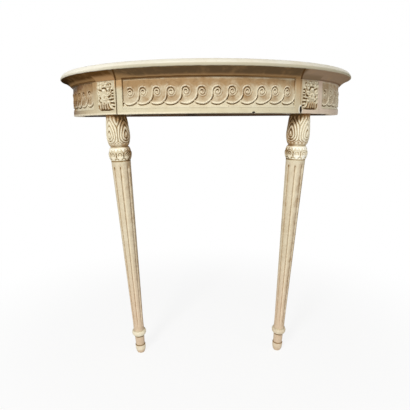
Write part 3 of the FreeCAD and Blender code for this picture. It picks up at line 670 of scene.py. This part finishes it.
leaf = {  # millimetres from the middle of the panel, x towards the front of the table
    "halfAngle": math.radians(4.46),
    "low": 704.3 * mm,
    "high": 776.5 * mm,
    "step": 0.55 * mm,
    "backRadius": 413.8 * mm,
    "ground": 1.0,
    "sunk": -0.9,
    "bed": 1.3,
    "top": 4.2,
    "half": (33.5, 36.6),  # where the sunk field ends
    "sides": {1: (1.0, 0), -1: (0.8, 0.15)},  # left and right: how dark the cuts are and how brown the panel is
    "rosette": (-5.4, -2.9, 10.5),  # place and reach
    "squash": 1.25,
    "petals": 8,
    "cutDepth": 2.6,
    "lobes": [  # place, half width, half height, lean in degrees, rise
        (-24, 31, 2.4, 4.4, 18, 2.6), (-17.5, 31.5, 2.4, 4.4, 8, 2.7), (-11, 31.5, 2.4, 4.4, 0, 2.6),
        (-4.5, 31, 2.4, 4.2, -8, 2.6), (1.8, 30.5, 2.4, 4.0, -16, 2.5), (-31, 23, 2.6, 5.0, 25, 2.5),
        (-25, 22.5, 3.0, 4.6, 20, 2.6), (-17.5, 23.5, 3.4, 4.6, 5, 2.7), (-10, 22.5, 3.0, 3.0, 0, 2.4),
        (-2.5, 24.5, 3.2, 4.4, -10, 2.6), (13.6, 32.4, 6.4, 2.3, 0, 2.9), (6.6, 30, 2.8, 2.6, 30, 2.7),
        (13.3, 24.6, 4.4, 2.6, 0, 2.9), (10.2, 17.2, 6.4, 3.0, 8, 2.9), (-6.4, 13.6, 6.6, 4.2, 0, 3.0),
        (-16, 18, 3.4, 2.4, 20, 2.5), (22.5, 16.4, 4.6, 2.4, 25, 2.7), (25.5, 8.4, 4.2, 2.2, 10, 2.6),
        (25.5, 1.9, 3.8, 2.0, 0, 2.5), (10.4, 7.4, 4.4, 2.4, 15, 2.7), (8.6, 1.6, 3.6, 2.4, 0, 2.7),
        (13.6, -5.8, 9.6, 2.1, 0, 2.9), (22, -13.8, 8.0, 2.2, -6, 2.9), (24.2, -22.2, 6.4, 2.2, -14, 2.8),
        (25.8, -30.2, 4.8, 2.0, -20, 2.7), (15.8, -25.4, 2.6, 10.0, 38, 2.7), (9.2, -13.6, 4.4, 3.2, 30, 2.6),
        (-20.8, -25, 2.8, 9.4, -8, 2.6), (-11.8, -25.6, 2.9, 9.2, -2, 2.7), (-2.4, -25.8, 2.9, 9.0, 6, 2.7),
        (6.4, -26.2, 2.5, 8.6, 20, 2.6), (-18.6, -10, 3.4, 4.2, -20, 2.6), (-27.5, -5.5, 3.0, 3.2, 0, 2.3),
        (-28.5, -17, 3.2, 4.6, -15, 2.3),
    ],
    "curls": [(-25.6, 8.5, 5.6), (13.3, 25.2, 5.6)],  # place and reach
    "cuts": [  # ends, half width, power
        (10.8, -2.2, 13.8, -2.3, 2.6, 1.4), (16.2, 1.6, 17.2, 1.8, 1.4, 0.8), (-13.4, 18.4, -1.4, 19.2, 1.6, 0.85),
        (-1.4, 19.2, 4.6, 12.4, 1.6, 0.8), (-26.4, 16.6, -16.2, 13.2, 1.5, 0.6), (7.2, 25.6, 10, 28.4, 1.6, 0.9),
        (10, 28.4, 17, 28.8, 1.6, 0.9), (17, 28.8, 19.4, 27, 1.5, 0.8), (9, 21.4, 17.6, 21.2, 1.3, 0.55),
        (16.6, 20, 12, 11.8, 1.3, 0.6), (20.6, 12.2, 25.4, 12.2, 1.6, 0.85), (21, 5, 25.4, 5, 1.4, 0.7),
        (22.4, -0.9, 26.4, -0.9, 1.6, 0.85), (12, -9.2, 18, -10.2, 1.5, 0.7), (18, -10.2, 26.6, -8.6, 1.6, 0.85),
        (15.6, -17.4, 28.4, -18.2, 1.6, 0.85), (24.2, -26.4, 29.4, -26.6, 1.6, 0.8),
        (-17.2, -20, -16.4, -32, 1.5, 0.7), (-8, -22, -6.2, -32.4, 1.5, 0.65), (0.2, -21.6, 4.2, -31, 1.6, 0.75),
        (8.4, -18.6, 18.4, -32.8, 1.6, 0.75),
        (-18.4, -34.8, -8.4, -34, 1.7, 1.1), (-8.4, -34, 4, -34.4, 1.5, 1.0), (4, -34.4, 18, -33.6, 1.5, 1.0),
        (18, -33.6, 29, -34.2, 1.6, 1.0), (-23.8, -2.4, -20.8, -6, 1.6, 0.7), (-25.4, -9.6, -20, -15.4, 1.7, 0.75),
        (-14, 34, -11.8, 29.6, 1.1, 0.45), (-5.4, 29, -7.6, 24.8, 1.2, 0.5), (-13, 24.2, -9, 24.8, 1.2, 0.45),
        (-0.6, 34.5, -1.2, 29, 1.1, 0.45), (-21, 34, -22.4, 27.6, 1.1, 0.4), (-28.4, 27, -27, 20, 1.1, 0.4),
        (-7.6, -17.8, -7.2, -17.8, 1.3, 0.5), (17.4, 8, 20, 9.8, 1.2, 0.5), (16, -13, 19, -12, 1.1, 0.35),
    ],
}


def lobe(x, y, px, py, wide, tall, lean):  # a rounded swelling
    turn = math.radians(lean)
    u = ((x - px) * math.cos(turn) + (y - py) * math.sin(turn)) / wide
    v = ((y - py) * math.cos(turn) - (x - px) * math.sin(turn)) / tall
    return np.sqrt(np.clip(1 - u * u - v * v, 0, 1))


def chisel(x, y, ax, ay, bx, by, half):  # a cut along a short line
    run = math.hypot(bx - ax, by - ay)
    share = np.clip(((x - ax) * (bx - ax) + (y - ay) * (by - ay)) / run ** 2, 0, 1)
    far = np.hypot(x - ax - share * (bx - ax), y - ay - share * (by - ay))
    return np.exp(-(far / half) ** 2)


def leafCut(s, z, inward):
    x = (s - s.max() / 2) * inward
    x, y = x + 0.5 * np.sin(0.21 * z + 0.11 * x), z + 0.5 * np.sin(0.19 * x + 0.4)
    halfWidth, halfHeight = leaf["half"]
    sunk = fadeIn((np.abs(x / halfWidth) ** 5 + np.abs((y + 0.4) / halfHeight) ** 5) ** 0.2, 1.0, 0.955)
    rise = np.zeros(s.shape)
    for px, py, wide, tall, lean, high in leaf["lobes"]:
        rise = np.maximum(rise, high * lobe(x, y, px, py, wide, tall, lean))
    px, py, reach = leaf["rosette"]
    rightward, upward = x - px, (y - py) * leaf["squash"]
    spread = np.hypot(rightward, upward)
    petals = 0.5 + 0.5 * np.cos(leaf["petals"] * np.arctan2(upward, rightward) + 0.5)
    flower = fadeIn(spread, reach, reach - 2) * (2.0 * np.sqrt(petals) * fadeIn(spread, 3.5, 6) + 0.8)
    rise = np.where(spread < reach, np.maximum(rise * fadeIn(spread, 6, reach), flower), rise)
    dark = np.zeros(s.shape)
    for px, py, reach in leaf["curls"]:
        far = np.hypot(x - px, y - py)
        rise = np.where(far < reach + 1.4, 2.8 * np.exp(-((far - reach * 0.72) / 1.7) ** 4), rise)
        dark = np.maximum(dark, 0.7 * np.exp(-(far / 2.0) ** 2))
    for ax, ay, bx, by, half, power in leaf["cuts"]:
        dark = np.maximum(dark, power * chisel(x, y, ax, ay, bx, by, half))
    height = leaf["ground"] + sunk * (leaf["sunk"] + leaf["bed"] + rise - leaf["cutDepth"] * dark - leaf["ground"])
    fan = fadeIn(y, -16, -24) * fadeIn(x, 18, 6) * sunk  # the leaves at the foot
    darkness, brown = leaf["sides"][inward]
    tone = 0.82 + sunk * (-0.2 + 0.23 * rise - darkness * dark) - 0.22 * fan - 0.25 * fadeIn(spread, 5, 3.5) * sunk
    stain = 0.3 * fadeIn(z, 26, 35) + 0.6 * fan + brown + 0.15 * (1 - sunk)
    return np.clip(height, leaf["sunk"], leaf["top"]), np.clip(tone, 0, 1.25), np.clip(stain, 0, 1)


def leafPanels():
    for name, inward in (("left", 1), ("right", -1)):
        turn = -inward * table["legAngle"]
        carvedBoard(name + "_leaf_carving", turn - leaf["halfAngle"], turn + leaf["halfAngle"], leaf,
                    lambda s, z: leafCut(s, z, inward), name + "_leaf_panel")


# legs: a spun profile, cut by drop from the apron and bearing round the axis

legs = {
    "radius": 387.7 * mm,
    "rake": 55 * mm,
    "around": 256,
    "runs": [  # drop and diameter in millimetres, each run a smooth line
        [(-4, 52.5), (0, 53), (21.87, 57.92), (48.6, 62), (62.37, 60.81), (74.52, 54.35), (81, 45)],
        [(81, 45), (86.76, 52.5), (99, 60), (109.8, 57), (117, 51.8)],
        [(117, 51), (599.47, 30)],
        [(599.47, 30), (611, 30.4), (623.4, 31)],
        [(623.47, 37), (626.72, 39.76), (629.96, 40.6), (634.24, 39.1), (638, 34.76), (640.97, 27.5)],
        [(640.97, 27.5), (670.9, 25.6)],
        [(670.97, 29.2), (679.28, 29.2), (688.98, 26.65), (698.67, 19)],
    ],
    "spacing": [1.0, 0.9, 6.0, 3.0, 0.9, 4.0, 1.5],
    "eyeDrop": 53,
    "lobe": 18.9,
    "lobeStep": 6.3,
    "flame": 2.2,  # how far the leaves are drawn out upwards
    "curlDrop": 102,
    "curls": 9,
    "curlTurn": math.radians(7),
    "flutes": 8,
    "fluteTop": 129.5,
    "fluteFoot": 614.5,
    "fluteEnds": (3.6, 34),  # round at the top, with a long run-out at the foot
    "fluteRadius": (4.7, 2.9),
    "fluteSink": 0.56,
    "shadowRings": [  # drop, half width and power of each painted shadow ring, under the apron and where the turning steps in
        (1, 4, 0.6), (80.4, 2.2, 0.5), (117.2, 1.4, 0.8), (640.9, 1.5, 1.0), (670.4, 1.2, 0.8),
    ],
    "sides": {  # what differs between the left leg and the right one: painted shade on the inner side of the head, shaft and knop, the painted highlight on the collar and foot, and blush on the collar
        1: {"head": 0.75, "shaft": 0.6, "knop": 0.4, "shine": 0.25, "collar": 0.1},
        -1: {"head": 1.0, "shaft": 0.2, "knop": 0.2, "shine": 0.1, "collar": 0.6},
    },
    "tenonRadius": 13 * mm,
    "tenonLength": 45 * mm,
}


def legProfile():
    line = np.vstack([smoothLine(run, 40) for run in legs["runs"]])
    drops = line[:, 0] + np.arange(len(line)) * 1e-7  # rising, where two runs meet too
    rings = []
    for run, spacing in zip(legs["runs"], legs["spacing"]):
        start, end = run[0][0], run[-1][0]
        rings.extend(np.linspace(start, end, max(2, round((end - start) / spacing) + 1)))
    rings = np.array(rings) + np.arange(len(rings)) * 1e-5
    return rings, np.interp(rings, drops, line[:, 1] / 2)


def bulbCut(drop, bearing, radius):  # four flame leaves round the bulb, with pleats rising between them
    quarter = math.pi / 2
    eye, size, step = legs["eyeDrop"], legs["lobe"], legs["lobeStep"]
    s = np.abs(bearing - np.round(bearing / quarter) * quarter) * radius
    above = np.clip(eye - drop, 0, None) / legs["flame"]
    below = np.clip(drop - eye, 0, None)
    rings = np.where(drop < eye, (s ** 1.5 + above ** 1.5) ** (1 / 1.5), np.hypot(s, below))
    edge = np.where(drop < eye, np.clip(size ** 1.5 - above ** 1.5, 0, None) ** (1 / 1.5),
                    np.sqrt(np.clip(size ** 2 - below ** 2, 0, None)))
    between = np.clip((s - edge) / np.maximum(quarter / 2 * radius - edge, 0.5), 0, 1)
    count = 1 + fadeIn(edge, 15, 6)
    wave = np.where(rings < size, rings, size + count * step * between) / step
    ridge = 0.5 - 0.5 * np.cos(2 * np.pi * wave)
    reach = np.hypot(s / 2.0, (drop - eye + 4) / 6.0)
    drip = np.exp(-reach ** 4)  # the drop in the middle of each leaf
    outline = np.exp(-((reach - 1.55) / 0.4) ** 2)
    spot = np.exp(-((s / 2.4) ** 2 + ((drop - eye - 11) / 2.4) ** 2))
    crown = 0.9 * np.clip(1 - (rings / size) ** 2, 0, 1)
    fade = within(drop, (0, 8), (78, 69))
    cut = fade * (crown - 0.5 - 2.1 * (1 - ridge ** 0.6) * (1 - drip))
    tone = 1 + fade * (0.2 - 0.95 * (1 - ridge) ** 1.6 * (1 - drip) - 0.45 * outline - 0.6 * spot)
    return cut, tone


def knopCut(drop, bearing, radius):  # curls between slots, tongues above them and small arches below
    sector = math.tau / legs["curls"]
    turn = bearing - legs["curlTurn"]
    t = np.abs(turn - np.round(turn / sector) * sector) * radius
    edge = sector / 2 * radius
    fall = drop - legs["curlDrop"]
    far = np.hypot(t, fall)
    ring = np.exp(-((far - 5.0) / 1.5) ** 2) * fadeIn(fall, 5, 1)
    bow = np.exp(-((far - 9.6) / 1.6) ** 2) * fadeIn(fall, 1, -3)
    eye = np.exp(-(far / 1.9) ** 2)
    slot = np.exp(-((t - edge) / 2.0) ** 2) * within(fall, (-9, -5), (9, 5))
    arch = np.exp(-((np.hypot(t - edge, fall - 14.5) - 5.4) / 1.5) ** 2) * fadeIn(fall, 14.5, 12)
    tongue = np.exp(-((t - edge - 0.6 * (fall + 5)) / 1.6) ** 2) * within(fall, (-17, -13), (-4, -7))
    groove = np.maximum.reduce([ring, 0.8 * bow, 0.9 * eye, 1.1 * slot, arch, 0.8 * tongue])
    fade = within(drop, (82, 85), (117, 115.5))
    # the upper knop is painted paler as a highlight
    return fade * (0.4 - 2.4 * groove), 1 + fade * (0.3 + 0.14 * fadeIn(fall, -5, -11) - 1.1 * groove)


def fluteCut(drop, bearing, radius):
    eighth = math.tau / legs["flutes"]
    t = (bearing - np.round(bearing / eighth) * eighth) * radius
    top, foot = legs["fluteTop"], legs["fluteFoot"]
    share = np.clip((drop - top) / (foot - top), 0, 1)
    bore = legs["fluteRadius"][0] + share * (legs["fluteRadius"][1] - legs["fluteRadius"][0])
    start, end = np.clip((drop - top) / legs["fluteEnds"][0], 0, 1), np.clip((foot - drop) / legs["fluteEnds"][1], 0, 1)
    bore = bore * np.sqrt(start * (2 - start)) * end ** 0.6
    sink = np.sqrt(np.clip(bore ** 2 - t ** 2, 0, None)) - bore * (1 - legs["fluteSink"])
    sink = np.clip(sink, 0, None)
    dot = np.exp(-((drop - top - 3) / 3.2) ** 2)
    # the left wall of each flute is painted dark as shade and the right wall pale as a highlight
    shadedWall = np.exp(-((t + 0.5 * bore) / (0.34 * bore + 0.1)) ** 2) * (sink > 0)
    shine = np.exp(-((t - 0.45 * bore) / (0.36 * bore + 0.1)) ** 2) * (sink > 0)
    return -sink, np.clip(sink / 2.4, 0, 1) * (0.1 + 0.6 * dot) + 0.5 * shadedWall - 0.2 * shine


def legCut(drop, bearing, radius, inner, hand):  # inner is 1 where the leg faces the other one
    bulb, bulbTone = bulbCut(drop, bearing, radius)
    knop, knopTone = knopCut(drop, bearing * hand, radius)
    flute, fluteTone = fluteCut(drop, bearing, radius)
    side = legs["sides"][hand]
    onKnop, onShaft = fadeIn(drop, 80, 84), fadeIn(drop, 118, 130)
    overCollar, fromCollar = fadeIn(drop, 623.4, 623.3), fadeIn(drop, 623.4, 623.47)
    onAnkle, onFoot = within(drop, (641, 642), (671, 670)), fadeIn(drop, 671, 672)
    # painted shadow under the apron, on the inner side of the neck
    neckShadow = fadeIn(drop, 36, 6) * fadeIn(inner, -0.3, 0.6)
    # the bulb's grooves are painted darker on the inner side, as shade
    bulbTone = np.where(bulbTone < 1, 1 - (1 - bulbTone) * (0.75 + 0.25 * fadeIn(inner, -0.6, 0.5)), bulbTone)
    tone = bulbTone + knopTone - 1 - fluteTone - 0.55 * neckShadow
    # painted shadow rings
    for level, half, power in legs["shadowRings"]:
        tone -= power * np.exp(-((drop - level) / half) ** 2)
    # painted shade on the inner side of the knop
    tone -= side["knop"] * fadeIn(inner, 0.5, 0.95) * onKnop * fadeIn(drop, 122, 116)
    # painted highlights on the collar's ledge and on the foot
    tone += side["shine"] * (fromCollar * fadeIn(drop, 639, 636) + onFoot * fadeIn(drop, 690, 682))
    # painted shadow right under the apron and under the bulb, then painted shade on the inner side down the leg
    stain = 0.95 * np.exp(-(drop / 15) ** 2) + 0.65 * np.exp(-((drop - 76) / 11) ** 2) * fadeIn(drop, 83, 80)
    innerShade = side["head"] + (side["shaft"] - side["head"]) * fadeIn(drop, 80, 120)
    stain += 0.8 * neckShadow + fadeIn(inner, 0.2, 0.95) * innerShade * fadeIn(drop, 640, 420)
    stain += 0.25 * np.exp(-((drop - 617) / 6) ** 2)
    if hand < 0:  # the right leg has painted shade on its outer side, away from the light, and is painted paler round its bulb and knop as a highlight
        leeShade = fadeIn(inner, 0, -0.5) * (1 - 0.45 * fadeIn(inner, -0.55, -0.95))
        stain += 0.68 * leeShade * onShaft * fadeIn(drop, 623.4, 600)
        tone += (0.14 + 0.1 * onKnop) * within(drop, (6, 20), (118, 116)) * fadeIn(inner, 0.7, 0.2)
    blush = (0.75 * fadeIn(drop, 330, 600) + 0.25 * onShaft) * overCollar + onAnkle
    blush = np.maximum.reduce([blush, side["collar"] * fromCollar, 0.9 * onFoot])
    return bulb + knop + flute, np.clip(tone, 0, 1.5), np.clip(stain, 0, 1), blush


def turnedLeg(name, angle, node):
    top = onPlan(legs["radius"], angle, table["apronBase"])
    foot = onPlan(legs["radius"] - legs["rake"], angle, 0)
    axis = (top - foot).normalized()
    along = axis.cross(onPlan(1, angle, 0) - onPlan(0, angle, 0)).normalized()
    outward = along.cross(axis)
    place = Matrix.Translation(top) @ Matrix((outward, along, axis)).transposed().to_4x4()
    rings, radii = legProfile()
    bm = bmesh.new()
    reliefAndShading = bm.verts.layers.float.new("reliefAndShading")
    stain = bm.verts.layers.float.new("stain")
    blush = bm.verts.layers.float.new("blush")
    chain = [bm.verts.new((r * mm, 0, -d * mm)) for d, r in zip(rings, radii)]
    for a, b in zip(chain, chain[1:]):
        bm.edges.new((a, b))
    bmesh.ops.spin(bm, geom=bm.verts[:] + bm.edges[:], cent=(0, 0, 0), axis=(0, 0, 1), dvec=(0, 0, 0),
                   angle=math.tau, steps=legs["around"], use_merge=True, use_duplicate=False)
    drop = np.array([-v.co.z / mm for v in bm.verts])
    bearing = np.array([math.atan2(v.co.y, v.co.x) for v in bm.verts])
    radius = np.array([math.hypot(v.co.x, v.co.y) / mm for v in bm.verts])
    hand = -math.copysign(1, angle)
    inner = np.array([(outward * math.cos(b) + along * math.sin(b)).x for b in bearing]) * hand
    cut, tone, tan, pink = legCut(drop, bearing, radius, inner, hand)
    for v, h, r, t, s, p in zip(bm.verts, cut, radius, tone, tan, pink):
        v.co.x *= 1 + h / r
        v.co.y *= 1 + h / r
        v[reliefAndShading], v[stain], v[blush] = t, s, p
    bmesh.ops.transform(bm, matrix=place, verts=bm.verts)
    for level, out in ((table["apronBase"], 1), (0, -1)):
        bmesh.ops.bisect_plane(bm, geom=bm.verts[:] + bm.edges[:] + bm.faces[:], plane_co=(0, 0, level),
                               plane_no=(0, 0, out), clear_outer=True)
        openEdges = [e for e in bm.edges if e.is_boundary and all(abs(v.co.z - level) < hair for v in e.verts)]
        lid = bmesh.ops.edgeloop_fill(bm, edges=openEdges)["faces"]
        if out > 0:
            bmesh.ops.inset_region(bm, faces=lid, thickness=radii[0] * mm - legs["tenonRadius"])
            tenon = bmesh.ops.extrude_face_region(bm, geom=lid)["geom"]
            bmesh.ops.delete(bm, geom=lid, context="FACES_ONLY")
            bmesh.ops.translate(bm, vec=axis * legs["tenonLength"],
                                verts=[g for g in tenon if isinstance(g, bmesh.types.BMVert)])
    bmesh.ops.recalc_face_normals(bm, faces=bm.faces)
    makePiece(name, bm, "glazed_carving", node, crease=50)


# camera and stage

view = {  # fitted to the photo
    "place": (-0.0311, -1.1753, 0.6709),
    "pitch": math.radians(11.156),
    "yaw": math.radians(1.08),
    "roll": math.radians(-0.389),
    "lens": 36.18,
    "sensor": 36,
}


def addCamera():
    pitch, yaw, roll = view["pitch"], view["yaw"], view["roll"]
    ahead = Vector((math.sin(yaw) * math.cos(pitch), math.cos(yaw) * math.cos(pitch), -math.sin(pitch)))
    level = Vector((math.cos(yaw), -math.sin(yaw), 0))
    above = level.cross(ahead)
    across = level * math.cos(roll) + above * math.sin(roll)
    upward = above * math.cos(roll) - level * math.sin(roll)
    turn = Matrix((across, upward, -ahead)).transposed()
    camera = bpy.data.objects.new("camera", bpy.data.cameras.new("camera"))
    camera.data.lens = view["lens"]
    camera.data.sensor_width = view["sensor"]
    camera.matrix_world = Matrix.Translation(view["place"]) @ turn.to_4x4()
    bpy.context.scene.collection.objects.link(camera)
    bpy.context.scene.camera = camera


studio = {
    "lamps": [  # name, place, aim, size, watts, tint
        ("key", (-1.0, -2.35, 2.1), (0, -0.1, 0.65), 0.7, 56, (1.0, 0.985, 0.96)),
        ("fill", (1.7, -1.8, 1.2), (0, -0.1, 0.55), 1.6, 9, (0.98, 0.97, 0.97)),
    ],
    "air": 0.33,
    "floorSize": 14,
    "floorGlow": (0.86, 1.0),  # close to the table and far from it
    "floorReach": (0.35, 1.1),
}


def addLamps():
    for name, place, aim, size, watts, tint in studio["lamps"]:
        lamp = bpy.data.lights.new(name, "AREA")
        lamp.shape = "DISK"
        lamp.size = size
        lamp.energy = watts
        lamp.color = tint
        holder = bpy.data.objects.new(name, lamp)
        holder.location = place
        holder.rotation_euler = (Vector(aim) - Vector(place)).to_track_quat("-Z", "Y").to_euler()
        bpy.context.scene.collection.objects.link(holder)


def seenDirectly(tree):  # 1 for what the camera sees, in a mirror or through glass too
    path = addNode(tree, "ShaderNodeLightPath").outputs
    bent = sums(tree, "MAXIMUM", path["Is Glossy Ray"], path["Is Transmission Ray"])
    return sums(tree, "MAXIMUM", path["Is Camera Ray"], bent)


def addFloor():
    material, tree, shader = newMaterial("pale_floor")
    shader["Base Color"].default_value = (0.9, 0.9, 0.9, 1)
    where = objectPlace(tree)
    tree.links.new(ramp(tree, noise(tree, where, 3), 0.3, 0.7, 0.85, 0.95), shader["Roughness"])
    glow = addNode(tree, "ShaderNodeEmission", {"Color": (1, 1, 1, 1), "Strength": 1.0})
    away = addNode(tree, "ShaderNodeVectorMath", {0: where}, operation="LENGTH").outputs["Value"]
    share = times(tree, seenDirectly(tree), ramp(tree, away, *studio["floorReach"], *studio["floorGlow"]))
    mixed = addNode(tree, "ShaderNodeMixShader", {0: share, 1: tree.nodes["Principled BSDF"].outputs[0],
                                                  2: glow.outputs[0]})
    tree.links.new(mixed.outputs[0], tree.nodes["Material Output"].inputs["Surface"])
    bm = bmesh.new()
    bmesh.ops.create_grid(bm, x_segments=1, y_segments=1, size=studio["floorSize"] / 2)
    mesh = bpy.data.meshes.new("floor")
    bm.to_mesh(mesh)
    bm.free()
    mesh.materials.append(material)
    floor = bpy.data.objects.new("floor", mesh)
    bpy.context.scene.collection.objects.link(floor)


def addAir():
    world = bpy.data.worlds.new("studio_air")
    world.use_nodes = True
    tree = world.node_tree
    backdrop = tree.nodes["Background"].inputs
    backdrop["Color"].default_value = (1, 1, 1, 1)
    tree.links.new(ramp(tree, seenDirectly(tree), 0, 1, studio["air"], 1.0), backdrop["Strength"])
    bpy.context.scene.world = world


addCamera()
addLamps()
addFloor()
addAir()
print("stage ready")
scrollStrips()
leafPanels()
turnedLeg("left_carved_leg", -table["legAngle"], "left_leg")
turnedLeg("right_carved_leg", table["legAngle"], "right_leg")
bpy.context.scene.view_settings.view_transform = "Standard"
